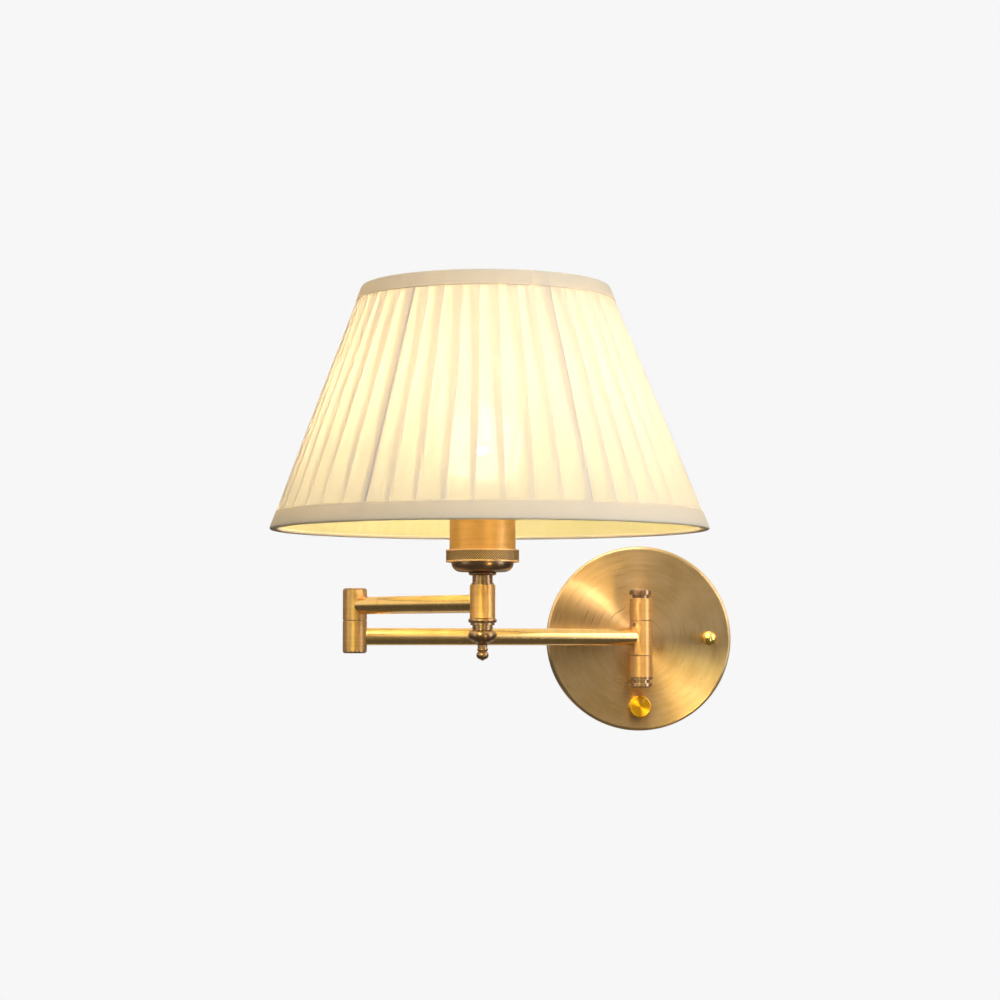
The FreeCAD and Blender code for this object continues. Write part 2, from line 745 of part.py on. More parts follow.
def elbow_parts():
    """Everything on the elbow's axis, made about Z."""
    seam = WASHER / 2
    return {
        "elbow_lower_barrel": elbow_lower_barrel(),
        "elbow_bottom_cap": elbow_cap(ELBOW_BOTTOM, -1),
        "elbow_pin": elbow_pin(),
        "elbow_washer": ring(BARREL_R - 0.35, PIN_R + 0.02, ELBOW_SEAM - seam, ELBOW_SEAM + seam),
        "elbow_upper_barrel": elbow_upper_barrel(),
        "elbow_top_cap": elbow_cap(ELBOW_TOP, 1),
    }


def head_parts():
    """Everything on the sleeve's axis, made about Z."""
    return {
        **sleeve_parts(),
        "head_stem": head_stem(),
        "stem_nut": stem_nut(),
        "finial_ring": finial_ring(),
        "finial": finial(),
        "post_neck": post_neck(),
        "flange_washer": flange_washer(),
        "socket_dome": socket_dome(),
        "knurled_ring": knurled_ring(),
        "socket_shell": socket_shell(),
        "shade_nut": shade_nut(),
        "socket_insulator": socket_insulator(),
        **lamp_contacts(),
        **bulb_parts(),
        **shade_parts(),
    }


def assembly():
    parts = {**wall_parts(), **knob_parts()}
    parts["lower_arm_tube"] = arm_tube(PIVOT, ELBOW, LOWER_ARM_Z)
    parts["upper_arm_tube"] = arm_tube(ELBOW, POST, UPPER_ARM_Z, SLEEVE_R)
    for axis, group in ((PIVOT, pivot_parts()), (ELBOW, elbow_parts()), (POST, head_parts())):
        parts.update({name: moved(shape, axis) for name, shape in group.items()})
    return parts


os.makedirs("parts", exist_ok=True)
for name, shape in assembly().items():
    sound = shape.isValid() and all(s.isClosed() for s in shape.Solids)
    print(f"{name}: {len(shape.Solids)} solid(s), {shape.Volume:.1f} mm3{'' if sound else ' NOT SOUND'}")
    shape.exportStep(f"parts/{name}.step")
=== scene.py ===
import math

import bpy
import numpy as np
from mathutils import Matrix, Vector


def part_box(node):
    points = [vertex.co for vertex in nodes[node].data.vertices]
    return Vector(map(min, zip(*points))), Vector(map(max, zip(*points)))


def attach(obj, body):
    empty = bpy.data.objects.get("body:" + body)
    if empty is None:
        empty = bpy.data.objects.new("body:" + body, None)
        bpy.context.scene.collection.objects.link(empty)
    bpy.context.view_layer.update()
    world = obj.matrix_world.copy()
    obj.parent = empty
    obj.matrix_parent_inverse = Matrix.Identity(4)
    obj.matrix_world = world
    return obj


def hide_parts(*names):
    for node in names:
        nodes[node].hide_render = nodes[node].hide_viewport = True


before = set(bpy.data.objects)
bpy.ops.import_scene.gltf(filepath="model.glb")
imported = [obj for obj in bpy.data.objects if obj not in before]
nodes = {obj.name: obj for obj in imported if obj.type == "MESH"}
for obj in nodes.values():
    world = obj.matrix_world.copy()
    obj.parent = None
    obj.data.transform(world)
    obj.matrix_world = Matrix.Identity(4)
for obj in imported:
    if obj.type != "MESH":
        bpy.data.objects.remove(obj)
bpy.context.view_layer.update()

# Swing arm wall sconce with a pleated empire shade, lit. Metres, in the CAD frame: +X right along the wall,
# +Y into the wall, +Z up. Places come from the CAD nodes' boxes.
MM = 0.001
SAME_PLACE = 1e-9


def middle(node):
    """Centre of a CAD node's box."""
    low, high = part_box(node)
    return (low + high) / 2


PLATE, PIVOT, ELBOW, POST, KNOB = map(
    middle, ("backplate_cover", "swivel_barrel", "elbow_lower_barrel", "socket_shell", "dimmer_knob")
)
UP, OUT = Vector((0, 0, 1)), Vector((0, -1, 0))
LOWER_ARM_WAY = ((ELBOW - PIVOT) * Vector((1, 1, 0))).normalized()
UPPER_ARM_WAY = ((POST - ELBOW) * Vector((1, 1, 0))).normalized()
NUTS_LOW, NUTS_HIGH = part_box("canopy_nuts")
NUT_R = (NUTS_HIGH.z - NUTS_LOW.z) / 2
NUT = Vector((NUTS_HIGH.x - NUT_R, 0, 0))


# --- node helpers -------------------------------------------------------------


def add(tree, kind, inputs=None, **settings):
    """One shader node. An input is a plain value, or another node's output, which is linked."""
    node = tree.nodes.new("ShaderNode" + kind)
    for key, value in settings.items():
        setattr(node, key, value)
    for key, value in (inputs or {}).items():
        if isinstance(value, bpy.types.NodeSocket):
            tree.links.new(value, node.inputs[key])
        else:
            node.inputs[key].default_value = value
    return node


def calc(tree, operation, *values, clamp=False):
    """A Math node's output."""
    return add(tree, "Math", dict(enumerate(values)), operation=operation, use_clamp=clamp).outputs[0]


def turn_to(tree, operation, *values, out=0):
    """A Vector Math node's output."""
    return add(tree, "VectorMath", dict(enumerate(values)), operation=operation).outputs[out]


def ramp(tree, value, low, high, to_low=0.0, to_high=1.0):
    """A value carried from one range to another, held at its ends."""
    inputs = {"Value": value, "From Min": low, "From Max": high, "To Min": to_low, "To Max": to_high}
    return add(tree, "MapRange", inputs).outputs["Result"]


def blend_colour(tree, share, a, b):
    """Colour between a and b."""
    node = add(tree, "Mix", data_type="RGBA")
    for key, value in ((0, share), (6, a), (7, b)):
        if isinstance(value, bpy.types.NodeSocket):
            tree.links.new(value, node.inputs[key])
        elif key == 0:
            node.inputs[key].default_value = value
        else:
            node.inputs[key].default_value = (*value, 1)
    return node.outputs[2]


def group(name, inputs, outputs):
    """An empty node group with named sockets. Returns its tree, its inputs and a function that feeds an
    output."""
    tree = bpy.data.node_groups.new(name, "ShaderNodeTree")
    for label, default in inputs.items():
        kind = "Float" if isinstance(default, (int, float)) else "Vector"
        socket = tree.interface.new_socket(label, in_out="INPUT", socket_type="NodeSocket" + kind)
        socket.default_value = default
    for label in outputs:
        tree.interface.new_socket(label, in_out="OUTPUT", socket_type="NodeSocketFloat")
    start, end = tree.nodes.new("NodeGroupInput"), tree.nodes.new("NodeGroupOutput")

    def give(label, value):
        tree.links.new(value, end.inputs[label])

    return tree, start.outputs, give


def use(tree, effect, **inputs):
    """Places a node group; returns its outputs. An input's name has _ for each space."""
    node = tree.nodes.new("ShaderNodeGroup")
    node.node_tree = effect
    for key, value in inputs.items():
        socket = node.inputs[key.replace("_", " ")]
        if isinstance(value, bpy.types.NodeSocket):
            tree.links.new(value, socket)
        else:
            socket.default_value = value
    return node.outputs


def new_finish(name):
    """A material with an empty tree and its output node."""
    material = bpy.data.materials.new(name)
    material.use_nodes = True
    material.node_tree.nodes.clear()
    return material, material.node_tree, material.node_tree.nodes.new("ShaderNodeOutputMaterial")


def surface(tree, end, inputs):
    """One Principled shader, joined to the material's end."""
    tree.links.new(add(tree, "BsdfPrincipled", inputs).outputs[0], end.inputs[0])


def place(tree):
    """The point's place on its own piece, in metres."""
    return add(tree, "TexCoord").outputs["Object"]


# --- effects that several finishes share ---------------------------------------


def lathe_marks():
    """Fine rings left by a tool about an axis: noise that changes fast across rings and slowly along them."""
    tree, given, give = group(
        "lathe_marks",
        {
            "Place": (0, 0, 0),
            "Centre": (0, 0, 0),
            "Axis": (0, 0, 1),
            "Lines per metre": 4000.0,
            "Breaks": 40.0,
        },
        ("Fine", "Broad"),
    )
    broad_share = 0.16
    offset = turn_to(tree, "SUBTRACT", given["Place"], given["Centre"])
    along = turn_to(tree, "DOT_PRODUCT", offset, given["Axis"], out=1)
    rise = add(tree, "VectorMath", {0: given["Axis"], "Scale": along}, operation="SCALE").outputs[0]
    flat = turn_to(tree, "SUBTRACT", offset, rise)
    ring = calc(tree, "ADD", turn_to(tree, "LENGTH", flat, out=1), along)
    slow = add(tree, "VectorMath", {0: flat, "Scale": given["Breaks"]}, operation="SCALE").outputs[0]
    fast = calc(tree, "MULTIPLY", ring, given["Lines per metre"])
    wide = calc(tree, "MULTIPLY", fast, broad_share)
    for label, ring_place, detail in (("Fine", fast, 2.0), ("Broad", wide, 1.0)):
        inputs = {"Vector": slow, "W": ring_place, "Scale": 1.0, "Detail": detail}
        give(label, add(tree, "TexNoise", inputs, noise_dimensions="4D").outputs[0])
    return tree


def patina():
    """Cloudy toning and small dark specks of old lacquered metal."""
    tree, given, give = group("patina", {"Place": (0, 0, 0), "Clouds per metre": 60.0}, ("Tone", "Specks"))
    here, clouds, specks_per_cloud = given["Place"], given["Clouds per metre"], 22.0
    cloud = add(tree, "TexNoise", {"Vector": here, "Scale": clouds, "Detail": 4.0})
    speck_scale = calc(tree, "MULTIPLY", clouds, specks_per_cloud)
    speck = add(tree, "TexNoise", {"Vector": here, "Scale": speck_scale, "Detail": 2.0})
    give("Tone", ramp(tree, cloud.outputs[0], 0.34, 0.66))
    give("Specks", ramp(tree, speck.outputs[0], 0.66, 0.74))
    return tree


def edge_wear():
    """Outer edges rubbed bright: where the rounded normal leaves the true one, broken up by noise."""
    tree, given, give = group("edge_wear", {"Place": (0, 0, 0), "Radius": 0.0004}, ("Wear",))
    rounded = add(tree, "Bevel", {"Radius": given["Radius"]}, samples=4).outputs[0]
    true = add(tree, "NewGeometry").outputs["Normal"]
    apart = calc(tree, "SUBTRACT", 1.0, turn_to(tree, "DOT_PRODUCT", rounded, true, out=1))
    breaks = add(tree, "TexNoise", {"Vector": given["Place"], "Scale": 900.0, "Detail": 2.0}).outputs[0]
    rubbed = calc(tree, "MULTIPLY", ramp(tree, apart, 0.015, 0.12), ramp(tree, breaks, 0.3, 0.5, 0.5, 1.0))
    give("Wear", rubbed)
    return tree


def plain_weave():
    """Over-and-under threads on a flat map in metres, with slubs: long thin swellings in the weft."""
    inputs = {"Cloth": (0, 0, 0), "Thread": 0.0004}
    tree, given, give = group("plain_weave", inputs, ("Height", "Gap", "Slub"))
    slubs_per_metre = (60.0, 2400.0, 1.0)
    parts = add(tree, "SeparateXYZ", {0: given["Cloth"]}).outputs
    turn = calc(tree, "DIVIDE", math.pi, given["Thread"])
    warp = calc(tree, "SINE", calc(tree, "MULTIPLY", parts["X"], turn))
    weft = calc(tree, "SINE", calc(tree, "MULTIPLY", parts["Y"], turn))
    over = calc(tree, "MULTIPLY", warp, weft)
    stretch = add(tree, "Mapping", {"Vector": given["Cloth"], "Scale": slubs_per_metre}).outputs[0]
    slub = add(tree, "TexNoise", {"Vector": stretch, "Scale": 1.0, "Detail": 3.0}).outputs[0]
    give("Height", calc(tree, "ADD", calc(tree, "MULTIPLY", over, 0.5), slub))
    give("Gap", ramp(tree, calc(tree, "ABSOLUTE", over), 0.5, 0.05))
    give("Slub", slub)
    return tree


LATHE, PATINA, WEAR, WEAVE = lathe_marks(), patina(), edge_wear(), plain_weave()


# --- metal finishes --------------------------------------------------------------


def turned_metal(
    name, centre, axis, light, dark, rubbed,
    rough=(0.17, 0.27), lines=4000.0, spread=0.6, cut=0.006, groove_shade=None,
):
    """Brushed round an axis: ring marks in tone, gloss and bump, over a cloudy patina. Edges are rubbed
    bright, or, when a groove colour is given, the faces are half rubbed and the cut grooves are painted
    that dark colour: their patina and painted shade. cut is a depth in mm."""
    material, tree, end = new_finish(name)
    here = place(tree)
    ring_share, speck_share = 0.45, 0.35
    marks = use(tree, LATHE, Place=here, Centre=centre, Axis=axis, Lines_per_metre=lines)
    old = use(tree, PATINA, Place=here)
    clouds = calc(tree, "MULTIPLY", old["Tone"], 1 - ring_share)
    tone = calc(tree, "MULTIPLY_ADD", ramp(tree, marks["Broad"], 0.3, 0.7), ring_share, clouds)
    colour = blend_colour(tree, tone, dark, light)
    colour = blend_colour(tree, calc(tree, "MULTIPLY", old["Specks"], speck_share), colour, dark)
    if groove_shade:
        # The knurl's grooves: painted shade and patina, a dark colour laid on by the groove share.
        depth = add(tree, "Attribute", attribute_name="groove").outputs["Fac"]
        colour = blend_colour(tree, depth, blend_colour(tree, 0.5, colour, rubbed), groove_shade)
    else:
        colour = blend_colour(tree, use(tree, WEAR, Place=here)["Wear"], colour, rubbed)
    offset = turn_to(tree, "SUBTRACT", here, tuple(centre))
    groove = turn_to(tree, "CROSS_PRODUCT", tuple(axis), offset)
    bump = add(tree, "Bump", {"Strength": 0.35, "Distance": cut * MM, "Height": marks["Fine"]})
    surface(
        tree,
        end,
        {
            "Base Color": colour,
            "Metallic": 1.0,
            "Roughness": ramp(tree, marks["Fine"], 0.3, 0.7, *rough),
            "Anisotropic": spread,
            "Anisotropic Rotation": 0.25,
            "Tangent": groove,
            "Coat Weight": 0.15,
            "Coat Roughness": 0.12,
            "Normal": bump.outputs[0],
        },
    )
    return material


# Tints of brass: the two ends of its patina, and its rubbed edges. They are set for this scene's light, and
# the elbow's and the tubes' tints are darker and paler copies of the same antique brass: painted shade and
# painted highlight.
ANTIQUE = dict(light=(0.88, 0.54, 0.22), dark=(0.72, 0.41, 0.15), rubbed=(0.97, 0.74, 0.40))
# The knurl's faces are lighter brass, set against the painted shade in its grooves.
KNURLED = dict(light=(1.0, 0.60, 0.32), dark=(0.84, 0.48, 0.24), rubbed=(1.0, 0.76, 0.46))
# The elbow's tint: antique brass darkened, painted shade.
SHADED_ANTIQUE = dict(light=(0.66, 0.41, 0.18), dark=(0.48, 0.28, 0.12), rubbed=(0.95, 0.66, 0.34))
# The tubes' tint: antique brass made paler all over, a painted highlight standing for the bright light on the
# tubes.
LIT_ANTIQUE = dict(light=(0.95, 0.68, 0.30), dark=(0.80, 0.52, 0.21), rubbed=(1.0, 0.82, 0.5))
PALE = dict(light=(0.82, 0.60, 0.35), dark=(0.64, 0.43, 0.21), rubbed=(0.95, 0.78, 0.50))
DARK = dict(light=(0.50, 0.32, 0.19), dark=(0.26, 0.155, 0.09), rubbed=(0.85, 0.58, 0.32))
DARK["rough"] = (0.26, 0.38)
LEMON = dict(light=(1.0, 0.78, 0.26), dark=(0.92, 0.66, 0.17), rubbed=(1.0, 0.9, 0.5))
POLISHED = dict(light=(1.0, 0.54, 0.03), dark=(0.96, 0.46, 0.015), rubbed=(1.0, 0.72, 0.20))

# How each kind of part is finished: its least and most roughness, and how far its grooves spread a highlight.
BARREL = dict(rough=(0.44, 0.58), spread=0.60)
TUBE = dict(rough=(0.18, 0.26), spread=0.15, lines=1500.0, cut=0.003)


def plain_metal(name, colour, shade, rough):
    """Hardware metal with cloudy toning, a fine grain and worn edges."""
    material, tree, end = new_finish(name)
    here = place(tree)
    old = use(tree, PATINA, Place=here, Clouds_per_metre=150.0)
    worn = use(tree, WEAR, Place=here)["Wear"]
    tint = blend_colour(tree, old["Tone"], shade, colour)
    tint = blend_colour(tree, calc(tree, "MULTIPLY", worn, 0.5), tint, (0.9, 0.9, 0.88))
    grain = add(tree, "TexNoise", {"Vector": here, "Scale": 2500.0, "Detail": 2.0}).outputs[0]
    bump = add(tree, "Bump", {"Strength": 0.2, "Distance": 0.02 * MM, "Height": grain})
    surface(
        tree,
        end,
        {
            "Base Color": tint,
            "Metallic": 1.0,
            "Roughness": ramp(tree, old["Tone"], 0.0, 1.0, rough + 0.12, rough),
            "Normal": bump.outputs[0],
        },
    )
    return material


def moulded(name, colour, shade, rough, fleck=2200.0, coat=0.0):
    """Moulded or glazed part: slight mottle, fine surface grain."""
    material, tree, end = new_finish(name)
    here = place(tree)
    old = use(tree, PATINA, Place=here, Clouds_per_metre=110.0)
    grain = add(tree, "TexNoise", {"Vector": here, "Scale": fleck, "Detail": 3.0}).outputs[0]
    bump = add(tree, "Bump", {"Strength": 0.25, "Distance": 0.02 * MM, "Height": grain})
    surface(
        tree,
        end,
        {
            "Base Color": blend_colour(tree, old["Tone"], shade, colour),
            "Roughness": ramp(tree, grain, 0.3, 0.7, rough - 0.06, rough + 0.06),
            "Coat Weight": coat,
            "Normal": bump.outputs[0],
        },
    )
    return material


# --- cloth and light ---------------------------------------------------------------


def rib_distance(tree, here):
    """Distance round the shade from the nearest of its six ribs."""
    z = add(tree, "SeparateXYZ", {0: here}).outputs["Z"]
    shift = calc(tree, "MULTIPLY_ADD", z, LEAN, FOOT_AT.x - LEAN * FOOT_Z)
    axis = add(tree, "CombineXYZ", {"X": shift, "Y": FOOT_AT.y}).outputs[0]
    flat = turn_to(tree, "MULTIPLY", turn_to(tree, "SUBTRACT", here, axis), (1, 1, 0))
    parts = add(tree, "SeparateXYZ", {0: flat}).outputs
    angle = calc(tree, "ARCTAN2", parts["Y"], parts["X"])
    rib = ramp(tree, z, FOOT_Z, HEAD_Z, rib_angle(FOOT_Z), rib_angle(HEAD_Z))
    apart = calc(tree, "PINGPONG", calc(tree, "SUBTRACT", angle, rib), math.pi / RIBS)
    return calc(tree, "MULTIPLY", apart, turn_to(tree, "LENGTH", flat, out=1))


def cloth(name, face, glow, through, gap, thread, seam=None, bump_depth=0.05):
    """Woven cloth lit from behind: part reflects, part glows through, and a little light comes between
    threads. seam is the colour and the strength of the shadow that a rib throws on the cloth; bump_depth
    is in mm."""
    material, tree, end = new_finish(name)
    here = place(tree)
    woven = use(tree, WEAVE, Cloth=add(tree, "UVMap", uv_map="cloth").outputs[0], Thread=thread)
    old = use(tree, PATINA, Place=here, Clouds_per_metre=35.0)
    slubbed_face, slubbed_glow, clouded_glow = (
        tuple(part * c for c in colour) for part, colour in ((0.93, face), (0.95, glow), (0.96, glow))
    )
    tint = blend_colour(tree, ramp(tree, woven["Slub"], 0.35, 0.65, 0.0, 0.35), face, slubbed_face)
    passed = blend_colour(tree, ramp(tree, woven["Slub"], 0.3, 0.7, 0.0, 0.6), glow, slubbed_glow)
    passed = blend_colour(tree, calc(tree, "MULTIPLY", old["Tone"], 0.3), passed, clouded_glow)
    if seam:
        shadow, strength = seam
        line = ramp(tree, rib_distance(tree, here), 0.1 * MM, 0.5 * MM, strength, 0.0)
        tint = blend_colour(tree, line, tint, shadow)
        passed = blend_colour(tree, line, passed, shadow)
    inputs = {"Strength": 0.5, "Distance": bump_depth * MM, "Height": woven["Height"]}
    bump = add(tree, "Bump", inputs).outputs[0]
    front = add(
        tree,
        "BsdfPrincipled",
        {
            "Base Color": tint,
            "Roughness": 0.85,
            "Specular IOR Level": 0.15,
            "Sheen Weight": 0.1,
            "Normal": bump,
        },
    )
    back = add(tree, "BsdfTranslucent", {"Color": passed, "Normal": bump})
    lit = add(tree, "MixShader", {0: through, 1: front.outputs[0], 2: back.outputs[0]})
    clear = add(tree, "BsdfTransparent", {"Color": (1.0, 0.97, 0.90, 1)})
    open_weave = ramp(tree, woven["Gap"], 0.0, 1.0, gap * 0.4, gap * 1.8)
    both = add(tree, "MixShader", {0: open_weave, 1: lit.outputs[0], 2: clear.outputs[0]})
    tree.links.new(both.outputs[0], end.inputs[0])
    return material


def lit_glass(name, colour, strength, clear):
    """Pearl glass that glows all over, partly see-through, with a faint mottle in its coating."""
    material, tree, end = new_finish(name)
    mottle = add(tree, "TexNoise", {"Vector": place(tree), "Scale": 700.0, "Detail": 3.0}).outputs[0]
    surface(
        tree,
        end,
        {
            "Base Color": blend_colour(tree, mottle, (0.93, 0.91, 0.86), (0.98, 0.97, 0.95)),
            "Roughness": ramp(tree, mottle, 0.3, 0.7, 0.2, 0.3),
            "Emission Color": (*colour, 1),
            "Emission Strength": strength,
            "Alpha": ramp(tree, mottle, 0.2, 0.8, 1 - clear, 1.04 - clear),
        },
    )
    return material


def hot_wire(name, colour, strength):
    """Glowing tungsten."""
    material, tree, end = new_finish(name)
    grain = add(tree, "TexNoise", {"Vector": place(tree), "Scale": 4000.0}).outputs[0]
    surface(
        tree,
        end,
        {
            "Base Color": blend_colour(tree, grain, (0.30, 0.28, 0.26), (0.42, 0.40, 0.38)),
            "Roughness": ramp(tree, grain, 0.3, 0.7, 0.4, 0.6),
            "Emission Color": (*colour, 1),
            "Emission Strength": strength,
        },
    )
    return material


# --- surfaces ----------------------------------------------------------------------


def quads(rows, columns, wrap=True):
    """Corner numbers of a grid's faces, wound so that rows going up and columns going anticlockwise face
    out. Without wrap, the grid has one more column, as a flat map does."""
    r, c = np.meshgrid(np.arange(rows - 1), np.arange(columns), indexing="ij")
    n = (c + 1) % columns if wrap else c + 1
    stride = columns if wrap else columns + 1
    corners = (r * stride + c, r * stride + n, (r + 1) * stride + n, (r + 1) * stride + c)
    return np.stack(corners, -1).reshape(-1, 4)


def piece(name, points, finish, body, stands_for=(), uv=None, crease=None):
    """Mesh through a grid of points, rows by columns. The last column joins the first, and an end row
    drawn to one point is a pole. uv is a grid with one more column than the points. crease keeps an edge
    of that angle hard."""
    rows, columns = points.shape[:2]
    poles = [k for k in (0, -1) if np.ptp(points[k], axis=0).max() < SAME_PLACE]
    band = points[int(0 in poles) : rows - int(-1 in poles)]
    vertices = np.concatenate([band.reshape(-1, 3)] + [points[k][:1] for k in poles])
    faces = quads(len(band), columns).tolist()
    this, after = np.arange(columns), (np.arange(columns) + 1) % columns
    tip, last = band.shape[0] * columns, (band.shape[0] - 1) * columns
    for pole in poles:
        point = np.full(columns, tip)
        fan = (point, after, this) if pole == 0 else (last + this, last + after, point)
        faces += np.stack(fan, -1).tolist()
        tip += 1
    mesh = bpy.data.meshes.new(name)
    mesh.from_pydata(vertices.tolist(), [], faces)
    mesh.update()
    mesh.shade_smooth()
    if crease:
        mesh.set_sharp_from_angle(angle=math.radians(crease))
    if uv is not None:
        layer = mesh.uv_layers.new(name="cloth")
        flat = uv.reshape(-1, 2)[quads(rows, columns, wrap=False).reshape(-1)]
        layer.data.foreach_set("uv", flat.astype(np.float32).ravel())
    mesh.materials.append(finish)
    made = bpy.data.objects.new(name, mesh)
    bpy.context.scene.collection.objects.link(made)
    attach(made, body)
    if stands_for:
        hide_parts(*stands_for)
    return made


def rounded(corners, radius, steps=5, closed=True):
    """Outline whose corners are quadratic curves that begin and end a radius away. Open ends stay as they
    are."""
    at, most_of_a_side = np.array(corners, float), 0.45
    before, after = np.roll(at, 1, 0) - at, np.roll(at, -1, 0) - at

    def reach(side):
        length = np.linalg.norm(side, axis=1)
        return at + side / length[:, None] * np.minimum(radius, most_of_a_side * length)[:, None]

    first, last = reach(before), reach(after)
    t = np.linspace(0, 1, steps)[None, :, None]
    curves = (1 - t) ** 2 * first[:, None] + 2 * t * (1 - t) * at[:, None] + t**2 * last[:, None]
    if closed:
        return curves.reshape(-1, 2)
    return np.concatenate([at[:1], curves[1:-1].reshape(-1, 2), at[-1:]])


def about(profile, turns, centre, ripple=0.0, off_wall=False):
    """Points of a profile of (radius, height) carried round an axis, with ripple added to the radius. Off
    the wall, the height runs out along -Y."""
    angle = np.linspace(0, 2 * np.pi, turns, endpoint=False)[None, :]
    off_axis = profile[:, :1] > SAME_PLACE
    r, h = profile[:, :1] + ripple * off_axis, profile[:, 1:] + 0 * angle
    x, y = r * np.cos(angle), r * np.sin(angle)
    spun = np.stack([x, -h, y], -1) if off_wall else np.stack([x, y, h], -1)
    return spun + np.array(centre)[None, None, :]


# --- shade -------------------------------------------------------------------------

RIBS, PLEATS, CLOTH_PER_PLEAT = 6, 48, 22.0 * MM
RIB_DEG, RIB_SWEEP_DEG = -1.5, -1.5
LINING_INSET = 4.05 * MM
(foot_low, foot_high), (head_low, head_high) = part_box("bottom_trim"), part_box("top_trim")
FOOT_Z, FOOT_R, HEAD_Z = foot_low.z, (foot_high.x - foot_low.x) / 2, head_high.z
SLOPE = ((head_high.x - head_low.x) / 2 - FOOT_R) / (head_low.z - FOOT_Z)
SLANT = math.hypot(1, SLOPE)
FOOT_AT, HEAD_AT = middle("bottom_trim"), middle("top_trim")
LEAN = (HEAD_AT.x - FOOT_AT.x) / (head_low.z - FOOT_Z)


def rib_angle(z):
    """Direction of the first rib at a height. The ribs turn by RIB_SWEEP_DEG on their way down."""
    return math.radians(RIB_DEG) + math.radians(RIB_SWEEP_DEG) * (HEAD_Z - z) / (HEAD_Z - FOOT_Z)


def shade_r(z):
    """Radius of the shade's outer surface at a height."""
    return FOOT_R + SLOPE * (z - FOOT_Z)


def shade_point(angle, z, inset):
    """The point at a direction and height, an inset in from the shade's surface, about its leaning centre
    line."""
    r = shade_r(z) - inset
    x = FOOT_AT.x + LEAN * (z - FOOT_Z) + r * np.cos(angle)
    return np.stack([x, FOOT_AT.y + r * np.sin(angle), z + 0 * r], -1)


def pleats(rows=37, seed=5):
    """Knife pleats as one folded sheet. Round the shade, each pleat's face runs from under its neighbour
    to its own fold, turns back beneath itself, and turns forward again, so cloth lies one or three deep.
    Each run is a share of the way between two fold directions. Its inset grows by a fold's thickness at
    each half turn, whose bow is a sine and whose step is a cosine. The hidden part is half of what is
    left of a pleat's cut width once its share of the circumference is used, so it widens to the top."""
    rng = np.random.default_rng(seed)
    low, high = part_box("shade_fabric")
    z = np.linspace(low.z, high.z, rows)[:, None, None]
    up = (z - low.z) / (high.z - low.z)
    swell = np.sin(np.pi * up) ** 0.6
    step = 2 * np.pi / PLEATS
    between_ribs = np.arange(PLEATS) % (PLEATS // RIBS) != 0
    drift = rng.normal(0, 0.045, PLEATS) * between_ribs
    sway = rng.normal(0, 0.03, PLEATS) * between_ribs
    phase = rng.uniform(0, 2 * np.pi, PLEATS)
    lift = rng.uniform(0.75, 1.1, PLEATS)

    def fold_angle(i):
        j = i % PLEATS
        shift = drift[j] * swell + sway[j] * np.sin(2 * np.pi * up + phase[j]) * swell
        return rib_angle(z) + (i + shift) * step

    i = np.arange(PLEATS)[None, :, None]
    start, stop = fold_angle(i), fold_angle(i + 1)
    width = stop - start
    hidden = (CLOTH_PER_PLEAT - step * shade_r(z)) / 2 / shade_r(z)
    deep, held_proud, swell_proud, belly = 1.30 * MM, 0.56, 0.46, 1.15

    def proud_of(j):
        return (held_proud - swell_proud * swell * lift[j % PLEATS]) * MM

    def face(share, top):
        return deep + (top - deep) * share**belly

    proud, before = proud_of(i), proud_of(i - 1)
    fold, fold_before = (deep - proud) / 4, (deep - before) / 4
    flattened, runs = 0.8, []
    for t in (0.10, 0.40, 0.75):
        there = 1 - (hidden / width) * (1 - t)
        runs.append((start - hidden * (1 - t), face(there, before) + 4 * fold_before))
    for t in (0.0, 0.05, 0.14, 0.28, 0.44, 0.60, 0.74, 0.86, 0.95, 0.99):
        runs.append((start + width * t, face(t, proud) + 0 * start))
    for turn in (0.35, 0.5, 0.65):
        bow = fold / shade_r(z) * np.sin(np.pi * turn)
        runs.append((stop + bow * flattened, proud + fold * (1 - np.cos(np.pi * turn))))
    for t in (0.97, 0.70, 0.35, 0.06):
        there = 1 - (hidden / width) * (1 - t)
        runs.append((stop - hidden * (1 - t), face(there, proud) + 2 * fold))
    there = 1 - hidden / width
    for turn in (0.3, 0.5, 0.7):
        bow = fold / shade_r(z) * np.sin(np.pi * turn)
        drop = fold * (3 - np.cos(np.pi * turn))
        runs.append((stop - hidden - bow * flattened, face(there, proud) + drop))
    angle, inset = (
        np.stack([np.broadcast_to(run[k], (rows, PLEATS, 1))[..., 0] for run in runs], -1).reshape(rows, -1)
        for k in (0, 1)
    )
    points = shade_point(angle, z[..., 0], inset)
    mid = points[rows // 2]
    length = np.linalg.norm(np.diff(mid, axis=0, append=mid[:1]), axis=1)
    u = np.concatenate([[0], np.cumsum(length)])
    v = (z[:, 0, 0] - low.z) * SLANT
    return points, np.stack(np.meshgrid(u, v), -1)


def cone_sheet(node, inset, rows, turns, wave, seed):
    """A cone at one inset, puckered by small gathers: a sum of sines of the direction, each turned a
    little with height, strongest at both edges and a quarter as deep halfway up."""
    rng = np.random.default_rng(seed)
    low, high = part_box(node)
    z = np.linspace(low.z, high.z, rows)[:, None]
    up = (z - low.z) / (high.z - low.z)
    angle = np.linspace(0, 2 * np.pi, turns, endpoint=False)[None, :]
    gathers = np.zeros((rows, turns))
    for count in (37, 61, 89, 131):
        wave_at = count * angle + rng.uniform(0, 6.28) + 2 * up * rng.normal()
        gathers += np.sin(wave_at) * rng.uniform(0.5, 1)
    drawn = inset + wave * gathers * (0.25 + 0.75 * np.abs(2 * up - 1) ** 1.5) / 2
    points = shade_point(angle, z, drawn)
    u = np.linspace(0, 2 * np.pi * shade_r((low.z + high.z) / 2), turns + 1)
    return points, np.stack(np.meshgrid(u, (z[:, 0] - low.z) * SLANT), -1)


